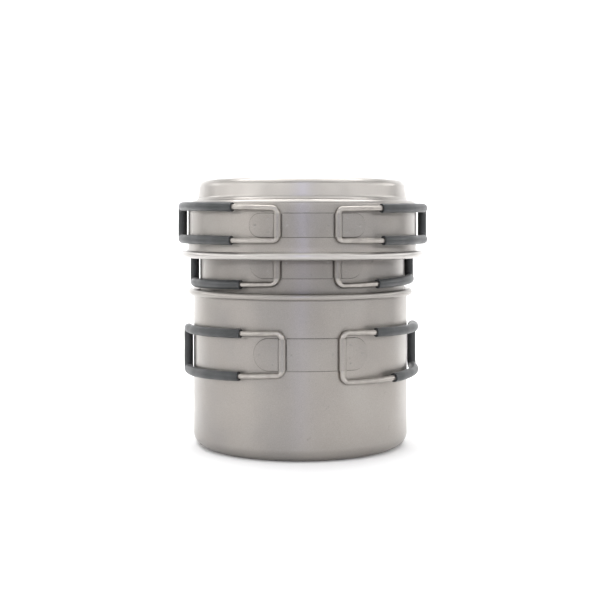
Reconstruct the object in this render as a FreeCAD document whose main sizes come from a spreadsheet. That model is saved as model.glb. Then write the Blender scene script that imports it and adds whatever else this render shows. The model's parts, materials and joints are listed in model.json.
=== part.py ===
"""Nested titanium camping cookset: a large pot, a middle pot that hangs in its mouth and a stepped pan
that sits upside down over the middle pot as a lid.

Millimetres and degrees. The frame's origin is the centre of the large pot's flat base, +Z is up and the
hinge straps of the handles are on the -Y side. Every vessel is a drawn sheet shell with a rolled rim. It
carries one spot-welded hinge strap with two raised channels, and each channel holds the upright of a bent
wire handle loop that folds round the wall and has a silicone grip on it."""

import FreeCAD, Part
import math
import os
import re

import Sketcher
from FreeCAD import Placement, Rotation, Vector

LINE_X, LINE_Y = -1, -2  # Sketcher's own numbers of the horizontal and vertical axes

doc = FreeCAD.newDocument("cookset")
sheet = doc.addObject("Spreadsheet::Sheet", "dimensions")
products = []  # the sub-parts that are written out


# ---- driving dimensions ------------------------------------------------------------------------------

DIMENSIONS = [
    # shared by the three vessels
    ("sheet_thickness", 0.5),
    ("strap_thickness", 0.6),
    ("curl_end_angle", 50),  # how far the rolled rim stops short of the wall, seen from its own centre
    ("hinge_span", 33.2),  # between the two handle pins
    ("strap_reach", 15.6),  # the strap goes on past each pin by this much
    ("weld_radius", 1.0),
    ("weld_dimple_radius", 2.6),  # of the ball-nosed electrode
    ("weld_depth", 0.15),  # of the mark that the electrode leaves
    # handles
    ("wire_radius", 1.5),
    ("wire_play", 0.1),  # between the wire and its channel
    ("wire_end_gap", 0.4),  # between the wire's two ends, which meet inside the channel
    ("hinge_bend", 3.8),
    ("hinge_bend_entry", 0.3),  # how far a bend may start inside its channel
    ("blend_bend", 10.0),  # where an arm turns from its straight lead to its run round the wall
    ("end_bend", 4.3),
    ("grip_radius", 2.6),
    # large pot
    ("big_radius", 63.6),
    ("big_height", 92.3),
    ("big_corner", 7.5),
    ("big_curl", 1.85),
    ("big_strap_height", 17.5),
    ("big_strap_level", 59.0),
    # middle pot
    ("middle_radius", 61.0),
    ("middle_height", 82.0),
    ("middle_corner", 7.5),
    ("middle_curl", 1.7),
    ("middle_strap_height", 16.8),
    ("middle_strap_level", 48.2),
    # pan, upside down
    ("pan_radius", 68.0),
    ("pan_rim_level", 112.8),
    ("pan_shoulder_level", 143.4),
    ("pan_top_level", 156.2),
    ("pan_step_radius", 62.15),  # of the drum, where it meets the shoulder
    ("pan_draft", 0.6),  # how much narrower the drum is at its top
    ("pan_flare", 0.6),
    ("pan_flare_height", 3.5),
    ("pan_curl", 2.1),
    ("pan_shoulder_corner", 4.2),
    ("pan_step_fillet", 1.4),
    ("pan_step_corner", 4.5),
    ("pan_strap_height", 12.8),
    ("pan_strap_level", 129.7),
    # how the set is stacked
    ("middle_seat", 60.8),  # height of the middle pot's base above the large pot's base
    ("stack_turn", -3.5),  # the middle pot and the pan are turned this far from the large pot
    ("stack_shift", 1.2),  # and sit this far to the right in its loose mouth
]

# Each handle loop: where its two arms leave the hinge and where they end, as heights above the middle of
# the strap; how far the wire's centre stands off the wall; the angle from the middle of the strap to the
# loop's end; and the angles at which the grip starts on the upper and the lower arm.
HANDLE_COLUMNS = (
    "top", "bottom", "end_top", "end_bottom", "standoff", "end_angle", "grip_top", "grip_bottom",
)
HANDLES = {
    "big_left": (11.9, -11.0, 10.0, -14.2, 2.95, 92, 35.5, 36.5),
    "big_right": (11.9, -15.5, 10.7, -14.4, 4.4, 92, 31.8, 44.5),
    "middle_left": (11.6, -11.6, 9.6, -13.0, 3.1, 90, 35.0, 34.5),
    "middle_right": (11.4, -12.6, 12.6, -11.0, 3.1, 90, 36.0, 38.0),
    "pan_left": (9.3, -8.4, 11.1, -8.0, 3.3, 90, 35.0, 35.5),
    "pan_right": (8.9, -8.5, 10.3, -8.3, 4.1, 90, 34.5, 35.5),
}

# Spot welds: distance from the strap's middle, and height as a share of half the strap's height.
WELDS = [(11.3, 0.0), (21.5, 0.58), (21.5, -0.58), (28.6, 0.0)]


def sheet_rows():
    """Every driving dimension as a name and a number."""
    rows = list(DIMENSIONS)
    for handle_name, values in HANDLES.items():
        rows += [(f"{handle_name}_{column}", value) for column, value in zip(HANDLE_COLUMNS, values)]
    return rows


def fill_sheet():
    for row, (alias, value) in enumerate(sheet_rows(), start=1):
        sheet.set(f"A{row}", alias.replace("_", " "))
        sheet.set(f"B{row}", str(value))
        sheet.setAlias(f"B{row}", alias)
    doc.recompute()


def size(alias):
    return float(sheet.get(alias))


def cells(text, vessel=""):
    """An expression in which each name becomes its cell; @name is the vessel's own dimension."""
    aliases = {alias for alias, _ in DIMENSIONS}

    def cell(match):
        word = match.group().replace("@", vessel + "_")
        return f"{sheet.Name}.{word}" if word in aliases else word

    return re.sub(r"@?[a-z_]+", cell, text)


def evaluate(text, vessel=""):
    """The number that an expression gives."""
    return float(sheet.evalExpression(cells(text, vessel)))


def bind(feature, prop, text, vessel=""):
    feature.setExpression(prop, cells(text, vessel))


# ---- sketches ----------------------------------------------------------------------------------------


def new_sketch(body, name, plane):
    sketch = body.newObject("Sketcher::SketchObject", name)
    origin_plane = next(f for f in body.Origin.OriginFeatures if f.Role == plane)
    sketch.AttachmentSupport = [(origin_plane, "")]
    sketch.MapMode = "FlatFace"
    return sketch


def dimension(sketch, kind, geometry, point, text, vessel):
    """Ties one coordinate of a sketch point to the sheet, measured from the sketch's origin."""
    value = evaluate(text, vessel)
    if abs(value) < 1e-9:
        axis = LINE_Y if kind == "DistanceX" else LINE_X
        sketch.addConstraint(Sketcher.Constraint("PointOnObject", geometry, point, axis))
        return
    number = sketch.addConstraint(Sketcher.Constraint(kind, -1, 1, geometry, point, value))
    bind(sketch, f"Constraints[{number}]", text, vessel)


def outline(sketch, corners, vessel):
    """A closed polygon whose corners are pairs of expressions."""
    points = [Vector(evaluate(x, vessel), evaluate(y, vessel), 0) for x, y in corners]
    count = len(points)
    for k in range(count):
        sketch.addGeometry(Part.LineSegment(points[k], points[(k + 1) % count]))
    for k in range(count):
        sketch.addConstraint(Sketcher.Constraint("Coincident", k, 2, (k + 1) % count, 1))
    for k, (x, y) in enumerate(corners):
        dimension(sketch, "DistanceX", k, 1, x, vessel)
        dimension(sketch, "DistanceY", k, 1, y, vessel)


def curl_section(sketch, centre_x, centre_y, vessel, opens_down):
    """The section of a rolled rim: nearly a full turn of sheet that starts level with its own centre."""
    cx, cy = evaluate(centre_x, vessel), evaluate(centre_y, vessel)
    outer = size(f"{vessel}_curl")
    inner = outer - size("sheet_thickness")
    stop = math.radians(180 + size("curl_end_angle"))
    centre = Vector(cx, cy, 0)
    for radius in (outer, inner):
        circle = Part.Circle(centre, Vector(0, 0, 1), radius)
        start, end = (math.pi, 2 * math.pi + (2 * math.pi - stop)) if opens_down else (stop, 3 * math.pi)
        sketch.addGeometry(Part.ArcOfCircle(circle, start, end))
    wall_point, lip_point = (1, 2) if opens_down else (2, 1)
    ends = {p: [sketch.getPoint(g, p) for g in (0, 1)] for p in (wall_point, lip_point)}
    sketch.addGeometry(Part.LineSegment(*ends[wall_point]))
    sketch.addGeometry(Part.LineSegment(*ends[lip_point]))
    for line, point in ((2, wall_point), (3, lip_point)):
        sketch.addConstraint(Sketcher.Constraint("Coincident", line, 1, 0, point))
        sketch.addConstraint(Sketcher.Constraint("Coincident", line, 2, 1, point))
        sketch.addConstraint(Sketcher.Constraint("PointOnObject", 0, 3, line))
    sketch.addConstraint(Sketcher.Constraint("Coincident", 0, 3, 1, 3))
    sketch.addConstraint(Sketcher.Constraint("Horizontal", 2))
    dimension(sketch, "DistanceX", 0, 3, centre_x, vessel)
    dimension(sketch, "DistanceY", 0, 3, centre_y, vessel)
    number = sketch.addConstraint(Sketcher.Constraint("Radius", 0, outer))
    bind(sketch, f"Constraints[{number}]", "@curl", vessel)
    number = sketch.addConstraint(Sketcher.Constraint("Radius", 1, inner))
    bind(sketch, f"Constraints[{number}]", "@curl - sheet_thickness", vessel)
    lip = abs(ends[lip_point][1].x - ends[lip_point][0].x)
    number = sketch.addConstraint(Sketcher.Constraint("DistanceX", 3, 1, 3, 2, lip))
    sketch.setExpression(
        f"Constraints[{number}]",
        f"{cells('sheet_thickness')} * cos({cells('curl_end_angle')} * 1deg)",
    )


def revolve(body, sketch, name):
    feature = body.newObject("PartDesign::Revolution", name)
    feature.Profile = sketch
    feature.ReferenceAxis = (sketch, ["V_Axis"])
    feature.Angle = 360
    sketch.Visibility = False
    doc.recompute()
    return feature


def fillet_circles(body, name, circles, text, vessel):
    """Rounds the circular edges that lie at each (radius, height)."""
    base = body.Tip
    names = []
    for number, edge in enumerate(base.Shape.Edges, start=1):
        curve = edge.Curve
        if not isinstance(curve, Part.Circle):
            continue
        for x, y in circles:
            radius, level = evaluate(x, vessel), evaluate(y, vessel)
            if abs(curve.Radius - radius) < 1e-3 and abs(curve.Center.z - level) < 1e-3:
                names.append(f"Edge{number}")
    feature = body.newObject("PartDesign::Fillet", name)
    feature.Base = (base, names)
    feature.Radius = 1
    bind(feature, "Radius", text, vessel)
    doc.recompute()
    return feature


# ---- vessels -----------------------------------------------------------------------------------------


def stacked(vessel, height=0.0):
    """Where a vessel's piece goes that is drawn about the vessel's own axis and strap."""
    if vessel == "big":
        return Placement(Vector(0, 0, height), Rotation())
    turn = Rotation(Vector(0, 0, 1), size("stack_turn"))
    return Placement(Vector(size("stack_shift"), 0, height), turn)


def finish(feature, label, placement):
    feature.Label = label
    feature.Placement = placement
    products.append(feature)


def pot(vessel, label, height):
    """A drawn pot that stands on its base, with a rounded bottom corner and a rolled rim."""
    body = doc.addObject("PartDesign::Body", label + "_body")
    wall_top = "@height - @curl"
    section = new_sketch(body, label + "_section", "XZ_Plane")
    outline(
        section,
        [
            ("0", "0"),
            ("@radius", "0"),
            ("@radius", wall_top),
            ("@radius - sheet_thickness", wall_top),
            ("@radius - sheet_thickness", "sheet_thickness"),
            ("0", "sheet_thickness"),
        ],
        vessel,
    )
    revolve(body, section, label + "_shell")
    fillet_circles(body, label + "_corner", [("@radius", "0")], "@corner", vessel)
    inside = [("@radius - sheet_thickness", "sheet_thickness")]
    fillet_circles(body, label + "_inner_corner", inside, "@corner - sheet_thickness", vessel)
    rim = new_sketch(body, label + "_rim_section", "XZ_Plane")
    curl_section(rim, "@radius + @curl - sheet_thickness", wall_top, vessel, opens_down=False)
    body.Tip = revolve(body, rim, label + "_rim")
    finish(body, label, stacked(vessel, height))


def pan():
    """The stepped pan, mouth down: its narrow drum fits a pot's mouth when it is turned over as a lid."""
    body = doc.addObject("PartDesign::Body", "pan_body")
    section = new_sketch(body, "pan_section", "XZ_Plane")
    flare_top = "@rim_level + @flare_height"
    wall, step = "@radius - sheet_thickness", "@step_radius - sheet_thickness"
    drum, drum_in = "@step_radius - @draft", "@step_radius - @draft - sheet_thickness"
    outline(
        section,
        [
            ("0", "@top_level"),
            (drum, "@top_level"),
            ("@step_radius", "@shoulder_level"),
            ("@radius", "@shoulder_level"),
            ("@radius", flare_top),
            ("@radius + @flare", "@rim_level"),
            ("@radius + @flare - sheet_thickness", "@rim_level"),
            (wall, flare_top),
            (wall, "@shoulder_level - sheet_thickness"),
            (step, "@shoulder_level - sheet_thickness"),
            (drum_in, "@top_level - sheet_thickness"),
            ("0", "@top_level - sheet_thickness"),
        ],
        "pan",
    )
    revolve(body, section, "pan_shell")
    shoulder, shoulder_in = "@shoulder_level", "@shoulder_level - sheet_thickness"
    top, top_in = "@top_level", "@top_level - sheet_thickness"
    for name, circle, radius in (
        ("top_corner", (drum, top), "@step_corner"),
        ("top_corner_inside", (drum_in, top_in), "@step_corner - sheet_thickness"),
        ("step_fillet", ("@step_radius", shoulder), "@step_fillet"),
        ("step_fillet_inside", (step, shoulder_in), "@step_fillet + sheet_thickness"),
        ("shoulder_corner", ("@radius", shoulder), "@shoulder_corner"),
        ("shoulder_corner_inside", (wall, shoulder_in), "@shoulder_corner - sheet_thickness"),
    ):
        fillet_circles(body, "pan_" + name, [circle], radius, "pan")
    rim = new_sketch(body, "pan_rim_section", "XZ_Plane")
    curl_section(rim, "@radius + @flare + @curl - sheet_thickness", "@rim_level", "pan", opens_down=True)
    body.Tip = revolve(body, rim, "pan_rim")
    finish(body, "pan", stacked("pan"))


# ---- hinge straps ------------------------------------------------------------------------------------


def primitive(kind, name, vessel, **expressions):
    """A Part primitive; each size, and x, y and z of its position, is an expression."""
    feature = doc.addObject(kind, name)
    for prop, text in expressions.items():
        bind(feature, f"Placement.Base.{prop}" if prop in ("x", "y", "z") else prop, text, vessel)
    return feature


def boolean(kind, name, *parts):
    """Part::MultiFuse or Part::MultiCommon of the parts, or Part::Cut of the first by the second."""
    feature = doc.addObject(kind, name)
    if kind == "Part::Cut":
        feature.Base, feature.Tool = parts
    else:
        feature.Shapes = list(parts)
    doc.recompute()
    return feature


PIN_Y = "-sqrt((@radius + wire_radius + wire_play) ^ 2 - (hinge_span / 2) ^ 2)"


def channel(vessel, name, side, outer_radius, half_height):
    """A post round a pin, open towards the vessel: a round nose on a straight block."""
    pin_x = "hinge_span / 2" if side > 0 else "-hinge_span / 2"
    nose = primitive(
        "Part::Cylinder",
        name + "_nose",
        vessel,
        Radius=outer_radius,
        Height=f"({half_height}) * 2",
        x=pin_x,
        y=PIN_Y,
        z=f"-({half_height})",
    )
    block = primitive(
        "Part::Box",
        name + "_block",
        vessel,
        Length=f"({outer_radius}) * 2",
        Width="wire_radius * 3",
        Height=f"({half_height}) * 2",
        x=f"{pin_x} - ({outer_radius})",
        y=PIN_Y,
        z=f"-({half_height})",
    )
    return boolean("Part::MultiFuse", name, nose, block)


def strap_blank(vessel, label):
    """The curved plate before its channels are raised: a ring of sheet inside a round-ended outline."""
    ring = primitive(
        "Part::Cylinder",
        label + "_ring",
        vessel,
        Radius="@radius + strap_thickness",
        Height="@strap_height",
        z="-@strap_height / 2",
    )
    straight = "(hinge_span / 2 + strap_reach - @strap_height / 2)"
    pieces = [
        primitive(
            "Part::Box",
            label + "_outline_middle",
            vessel,
            Length=f"2 * {straight}",
            Width="@radius * 2",
            Height="@strap_height",
            x=f"-{straight}",
            y="-@radius * 2",
            z="-@strap_height / 2",
        )
    ]
    for sign in ("-", ""):
        end = doc.addObject("Part::Cylinder", f"{label}_outline_end")
        end.Placement = Placement(Vector(), Rotation(Vector(1, 0, 0), 90))
        bind(end, "Radius", "@strap_height / 2", vessel)
        bind(end, "Height", "@radius * 2", vessel)
        bind(end, "Placement.Base.x", f"{sign}{straight}", vessel)
        pieces.append(end)
    outline_block = boolean("Part::MultiFuse", label + "_outline", *pieces)
    return boolean("Part::MultiCommon", label + "_blank", ring, outline_block)


def weld_tools(vessel, label):
    """The posts that hold each spot weld's metal, and the balls that mark the welds' faces."""
    posts, balls = [], []
    for across, share in WELDS:
        for side in (-1, 1):
            angle = side * math.asin(across / (size(f"{vessel}_radius") + size("strap_thickness")))
            outwards = Vector(math.sin(angle), -math.cos(angle), 0)
            post = doc.addObject("Part::Cylinder", label + "_weld_post")
            post.Placement.Rotation = Rotation(Vector(0, 0, 1), outwards)
            bind(post, "Radius", "weld_radius")
            bind(post, "Height", "@radius + 2 * strap_thickness", vessel)
            ball = doc.addObject("Part::Sphere", label + "_weld_ball")
            bind(ball, "Radius", "weld_dimple_radius")
            reach = "(@radius + strap_thickness + weld_dimple_radius - weld_depth)"
            bind(ball, "Placement.Base.x", f"{reach} * {outwards.x:.6f}", vessel)
            bind(ball, "Placement.Base.y", f"{reach} * {outwards.y:.6f}", vessel)
            for tool in (post, ball):
                bind(tool, "Placement.Base.z", f"@strap_height / 2 * {share}", vessel)
            posts.append(post)
            balls.append(ball)
    return (
        boolean("Part::MultiFuse", label + "_weld_posts", *posts),
        boolean("Part::MultiFuse", label + "_weld_balls", *balls),
    )


def hinge_strap(vessel, label, height):
    """The strap with its two raised channels, and the spot welds that fix it to the vessel."""
    half_height = "@strap_height / 2"
    solids, hollows = [strap_blank(vessel, label)], []
    for side, hand in ((-1, "left"), (1, "right")):
        outer = "wire_radius + wire_play + strap_thickness"
        inner = "wire_radius + wire_play"
        solids.append(channel(vessel, f"{label}_{hand}_channel", side, outer, half_height))
        hollows.append(channel(vessel, f"{label}_{hand}_bore", side, inner, "@strap_height"))
    wall = primitive(
        "Part::Cylinder",
        label + "_wall_face",
        vessel,
        Radius="@radius",
        Height="@strap_height * 2",
        z="-@strap_height",
    )
    raised = boolean("Part::MultiFuse", label + "_raised", *solids)
    hollow = boolean("Part::MultiFuse", label + "_hollow", wall, *hollows)
    plate = boolean("Part::Cut", label + "_plate", raised, hollow)
    posts, balls = weld_tools(vessel, label)
    strap = boolean("Part::Cut", label + "_strap", plate, posts)
    nuggets = boolean("Part::MultiCommon", label + "_nuggets", plate, posts)
    welds = boolean("Part::Cut", label + "_welds", nuggets, balls)
    placement = stacked(vessel, height)
    finish(strap, label + "_hinge_strap", placement)
    finish(welds, label + "_spot_welds", placement)


# ---- handles -----------------------------------------------------------------------------------------


def line(start, end):
    return Part.LineSegment(start, end).toShape()


def arc(start, middle, end):
    return Part.Arc(start, middle, end).toShape()


def bend(corner, before, after, reach):
    """The arc that rounds a corner between two directions, starting that far before the corner."""
    half_turn = before.getAngle(after) / 2
    radius = reach / math.tan(half_turn)
    inwards = (after - before).normalize()
    middle = corner + inwards * (radius / math.cos(half_turn) - radius)
    return arc(corner - before * reach, middle, corner + after * reach)


class Arm:
    """The centreline of one arm of a loop, drawn in a plane that may slope along the vessel."""

    def __init__(self, vessel, handle_name, level, end_level, side):
        wall = size(f"{vessel}_radius")
        self.pin = wall + size("wire_radius") + size("wire_play")
        self.run = wall + size(f"{handle_name}_standoff")
        self.level = level
        pin_angle = math.asin(size("hinge_span") / 2 / self.pin)
        self.pin_angle = math.degrees(pin_angle)
        self.outwards = Vector(side * math.sin(pin_angle), -math.cos(pin_angle), 0)
        flat = Vector(side * math.cos(pin_angle), math.sin(pin_angle), 0)
        end_angle = math.radians(size(f"{handle_name}_end_angle")) - pin_angle
        self.end_turn = end_angle - math.atan(size("end_bend") / self.run)
        slope = math.asin((end_level - level) / (self.run * math.sin(end_angle)))
        self.away = flat * math.cos(slope) + Vector(0, 0, math.sin(slope))
        above_strap = abs(level) - size(f"{vessel}_strap_height") / 2
        self.hinge_reach = min(size("hinge_bend"), above_strap + size("hinge_bend_entry"))
        blend = size("blend_bend")
        self.lead = math.sqrt((self.run - self.pin) * (self.run + self.pin - 2 * blend))
        self.run_turn = math.atan2(self.lead, self.pin - blend)

    def point(self, out, along):
        """A point of the arm's plane, measured from its corner over the pin."""
        return Vector(0, 0, self.level) + self.outwards * (self.pin + out) + self.away * along

    def round_point(self, turn):
        """A point of the arm's run round the wall, that many radians on from the pin."""
        return self.point(self.run * math.cos(turn) - self.pin, self.run * math.sin(turn))

    def lead_edges(self):
        """The bend out of the pin, the straight lead and the blend into the run."""
        upright = Vector(0, 0, math.copysign(1, self.level))
        blend = size("blend_bend")
        half = self.run_turn / 2
        middle = self.point(blend * (math.cos(half) - 1), self.lead + blend * math.sin(half))
        return [
            bend(self.point(0, 0), upright, self.away, self.hinge_reach),
            line(self.point(0, self.hinge_reach), self.point(0, self.lead)),
            arc(self.point(0, self.lead), middle, self.round_point(self.run_turn)),
        ]

    def run_edge(self, start_turn):
        middle = (start_turn + self.end_turn) / 2
        return arc(*[self.round_point(turn) for turn in (start_turn, middle, self.end_turn)])

    def end_direction(self):
        return self.away * math.cos(self.end_turn) - self.outwards * math.sin(self.end_turn)

    def end_corner(self):
        return self.round_point(self.end_turn) + self.end_direction() * size("end_bend")


def loop_end(upper, lower):
    """The loop's far end: a bend, the upright and a bend."""
    reach = size("end_bend")
    down = (lower.end_corner() - upper.end_corner()).normalize()
    first = bend(upper.end_corner(), upper.end_direction(), down, reach)
    last = bend(lower.end_corner(), lower.end_direction(), down * -1, reach)
    upright = line(upper.end_corner() + down * reach, lower.end_corner() - down * reach)
    return [first, upright, last]


def rod(name, path, radius, start, direction):
    """A round rod along a path: a circle at the path's start, swept along it."""
    spine = doc.addObject("Part::Feature", name + "_path")
    spine.Shape = path
    section = doc.addObject("Part::Circle", name + "_section")
    bind(section, "Radius", radius)
    section.Placement = Placement(start, Rotation(Vector(0, 0, 1), direction))
    sweep = doc.addObject("Part::Sweep", name)
    sweep.Sections = [section]
    sweep.Spine = (spine, [f"Edge{number}" for number in range(1, len(path.Edges) + 1)])
    sweep.Solid = True
    doc.recompute()
    return sweep


def handle(vessel, hand, height):
    """One wire loop, from one butted end in its channel round to the other, and the grip on it."""
    name = f"{vessel}_{hand}"
    side = -1 if hand == "left" else 1
    upper = Arm(vessel, name, size(f"{name}_top"), size(f"{name}_end_top"), side)
    lower = Arm(vessel, name, size(f"{name}_bottom"), size(f"{name}_end_bottom"), side)
    placement = stacked(vessel, height)

    half_gap = Vector(0, 0, size("wire_end_gap") / 2)
    pin_foot = upper.outwards * upper.pin
    edges = []
    for arm, butt in ((upper, pin_foot + half_gap), (lower, pin_foot - half_gap)):
        upright_end = pin_foot + Vector(0, 0, arm.level - math.copysign(arm.hinge_reach, arm.level))
        edges.append([line(butt, upright_end), *arm.lead_edges(), arm.run_edge(arm.run_turn)])
    path = Part.Wire([*edges[0], *loop_end(upper, lower), *reversed(edges[1])])
    wire = rod(name + "_wire", path, "wire_radius", pin_foot + half_gap, Vector(0, 0, 1))
    finish(wire, name + "_handle_wire", placement)
    expected = math.pi * size("wire_radius") ** 2 * path.Length
    print(f"{name}: wire {path.Length:.1f} mm, volume {wire.Shape.Volume / expected:.5f} of expected")

    starts = [
        math.radians(size(f"{name}_{start}") - arm.pin_angle)
        for start, arm in (("grip_top", upper), ("grip_bottom", lower))
    ]
    cover = Part.Wire([upper.run_edge(starts[0]), *loop_end(upper, lower), lower.run_edge(starts[1])])
    first_point = upper.round_point(starts[0])
    first_direction = upper.away * math.cos(starts[0]) - upper.outwards * math.sin(starts[0])
    sleeve = rod(name + "_sleeve", cover, "grip_radius", first_point, first_direction)
    bore = rod(name + "_sleeve_bore", cover, "wire_radius", first_point, first_direction)
    finish(boolean("Part::Cut", name + "_sleeve_tube", sleeve, bore), name + "_grip", placement)


# ---- the set -----------------------------------------------------------------------------------------


def check(features):
    """Stops the script if any object failed, or a sub-part isn't a valid closed solid."""
    for feature in doc.Objects:
        if {"Invalid", "Error"} & set(feature.State):
            raise RuntimeError(f"{feature.Name} failed: {feature.State}")
    for feature in features:
        shape = feature.Shape
        if shape.isNull() or not shape.isValid() or not shape.Solids:
            raise RuntimeError(f"{feature.Label} has no valid solid")
        if any(not solid.isClosed() for solid in shape.Solids):
            raise RuntimeError(f"{feature.Label} isn't closed")


fill_sheet()
pot("big", "big_pot", 0)
pot("middle", "middle_pot", size("middle_seat"))
pan()
LEVELS = {
    "big": size("big_strap_level"),
    "middle": size("middle_seat") + size("middle_strap_level"),
    "pan": size("pan_strap_level"),
}
for vessel, level in LEVELS.items():
    hinge_strap(vessel, "pan" if vessel == "pan" else vessel + "_pot", level)
    for hand in ("left", "right"):
        handle(vessel, hand, level)
doc.recompute()
check(products)
os.makedirs("parts", exist_ok=True)
for feature in products:
    feature.Shape.exportStep(f"parts/{feature.Label}.step")
    box = feature.Shape.BoundBox
    print(f"{feature.Label}: {feature.Shape.Volume:.1f} mm3, z {box.ZMin:.2f} to {box.ZMax:.2f}, "
          f"{len(feature.Shape.Solids)} solid")
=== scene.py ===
"""Looks for the nested titanium cookset: spun shells, stamped straps, bent wire and silicone grips.

Metres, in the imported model's own frame: origin at the centre of the large pot's base, +Z up, hinge
straps on the -Y side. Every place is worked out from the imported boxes, from the hinge joints and,
for the handle loops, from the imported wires' and grips' vertices."""

import json
import math

import bpy
import numpy as np
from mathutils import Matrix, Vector, noise


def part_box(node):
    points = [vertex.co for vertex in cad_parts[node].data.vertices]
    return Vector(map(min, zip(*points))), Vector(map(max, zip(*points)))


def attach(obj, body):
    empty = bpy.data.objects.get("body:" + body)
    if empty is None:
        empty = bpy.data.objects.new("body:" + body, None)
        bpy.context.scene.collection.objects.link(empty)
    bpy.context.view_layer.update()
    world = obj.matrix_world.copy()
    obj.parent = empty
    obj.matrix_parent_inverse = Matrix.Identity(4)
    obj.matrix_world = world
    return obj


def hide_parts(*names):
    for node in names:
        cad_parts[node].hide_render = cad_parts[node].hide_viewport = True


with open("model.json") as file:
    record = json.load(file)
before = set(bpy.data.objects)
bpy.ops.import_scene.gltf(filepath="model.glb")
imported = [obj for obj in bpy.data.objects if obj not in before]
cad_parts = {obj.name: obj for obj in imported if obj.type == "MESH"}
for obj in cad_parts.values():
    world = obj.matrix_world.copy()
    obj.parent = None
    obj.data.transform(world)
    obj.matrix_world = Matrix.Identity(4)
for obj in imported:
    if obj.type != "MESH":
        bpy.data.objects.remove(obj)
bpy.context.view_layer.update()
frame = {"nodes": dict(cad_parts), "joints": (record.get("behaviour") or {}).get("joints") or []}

MM = 0.001
joints = {joint["name"]: joint for joint in frame["joints"]}

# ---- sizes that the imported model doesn't state by itself ---------------------------------------

SHEET = 0.5 * MM  # of the vessels' walls
STRAP_SHEET = 0.6 * MM
WIRE_RADIUS = 1.5 * MM
WIRE_PLAY = 0.1 * MM
STRAP_REACH = 15.6 * MM  # past each pin
CHANNEL_FILLET = 0.3 * MM
HINGE_BEND = 3.8 * MM  # of a loop's corners at its pin
HINGE_BEND_ENTRY = 0.3 * MM  # how far such a bend may start inside the channel
BLEND_BEND = 10 * MM  # where an arm turns from its straight lead to its run round the wall
END_BEND = 4.3 * MM  # of a loop's far corners
WIRE_END_GAP = 0.4 * MM  # between a wire's two ends, inside the channel
POT_CORNER = 7.5 * MM
PAN_STEP_RADIUS = 62.15 * MM  # of the drum, where it meets the shoulder
PAN_DRAFT = 0.6 * MM  # how much narrower the drum is at its top
PAN_SHOULDER_DROP = 12.1 * MM  # from the pan's top down to its shoulder
PAN_SHOULDER_CORNER = 3.2 * MM
PAN_STEP_FILLET = 2.6 * MM
PAN_STEP_CORNER = 4.5 * MM
PAN_FLARE = 0.6 * MM
PAN_FLARE_HEIGHT = 3.5 * MM
CURL_OPENING = 50  # degrees that the rolled rim stops short of its wall
# one side's spot welds: distance from the strap's middle, and height as a share of half the strap's
WELDS = [(11.3 * MM, 0.0), (21.5 * MM, 0.58), (21.5 * MM, -0.58), (28.6 * MM, 0.0)]
WELD_RADIUS = 0.8 * MM
WELD_DENT = 0.12 * MM  # how far the strap is pressed in
WELD_DENT_REACH = 1.5  # how wide, as a multiple of the weld's radius
STRAP_EDGE = 0.24 * MM  # how far the strap's edges are rounded

# ---- small surface shapes, in millimetres ------------------------------------------------------

# a weld's dished face from its middle outwards: share of its radius, and height over the strap
WELD_FACE = [(0.4, -0.09), (0.65, -0.075), (0.8, -0.045), (0.9, -0.03), (1.0, -0.04), (1.05, -0.1)]
# beads of painted shade in the strap's seams: distance to the side, and height over the wall or over
# the strap
OUTLINE_SHADE_BEAD = [(-0.06, 0.18), (0.12, 0.16), (0.34, 0.09), (0.40, -0.08)]
FOOT_SHADE_BEAD = [(-0.16, -0.02), (-0.10, 0.06), (0.10, 0.06), (0.16, -0.02)]
# a sleeve's gaping mouth: how far along the sleeve, and radius
GRIP_MOUTH = [
    (3.0, 1.53), (1.4, 1.58), (0.6, 1.68), (0.15, 1.80), (0.02, 1.95), (0.0, 2.15), (0.05, 2.33),
]
# and its rounded edge: how far along, and how far below the sleeve's own radius
GRIP_EDGE = [(0.16, 0.09), (0.34, 0.02)]
CUT_END = [(0.0, 0.85), (0.2, 1.0)]  # a wire's end: how far along, and share of its radius
WALL_WAVE = 0.07  # how far a spun wall strays from true
GRIP_WAVE = 0.05  # how uneven a sleeve's skin is

# ---- how finely the shapes are cut -------------------------------------------------------------

RING_STEPS = 240  # round a vessel
ARC_DEGREES = 7  # for each step of an outline's arcs
STRAP_ROWS = 40  # up a strap
STRAP_SPACING = 0.4 * MM  # along a strap's ends
MIDDLE_SPACING = 0.45 * MM  # and between its channels
STRAP_END_STEPS = 18
STRAP_END_DEGREES = 88  # a hair less than square, so that the end's last column has some height
FILLET_STEPS = 8  # of a channel's foot
NOSE_STEPS = 12  # of one side of a channel's nose
WELD_SIDES = 28
GRIP_SIDES = 40
WIRE_SIDES = 28
BEND_STEPS = 60  # of a wire's corners
BLEND_STEPS = 40  # where an arm turns to its run
RUN_STEPS = 400  # of its run round the wall
WIRE_SPACING = 0.6 * MM
GRIP_SPACING = 0.7 * MM
SWEEP_STEP = 0.4 * MM  # either way along a tube, over which its direction is taken

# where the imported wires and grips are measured, in radians: a run starts past its pin by this much,
# and it and the sleeve's arms stop short of the loop's end by these
RUN_FROM, RUN_SHORT, SLEEVE_SHORT = 0.35, 0.15, 0.2

# ---- wear and light ----------------------------------------------------------------------------

RIM_SHEEN = 1.36  # how much lighter than the sheet the pan's rolled rim is painted: wear and a painted highlight
DRUM_SHEEN = 0.5  # how far the pan's drum and shoulder are painted that lighter too: a painted highlight
POT_RIM_WEAR_AND_SHEEN = 0.1  # and the pots' rims: wear and a painted highlight
RIM_POLISH = -0.03  # added to the roughness where the metal is painted fully lighter

PAPER_GLOW = 0.01  # light that the white sweep gives off by itself, as on a lit table
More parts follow.
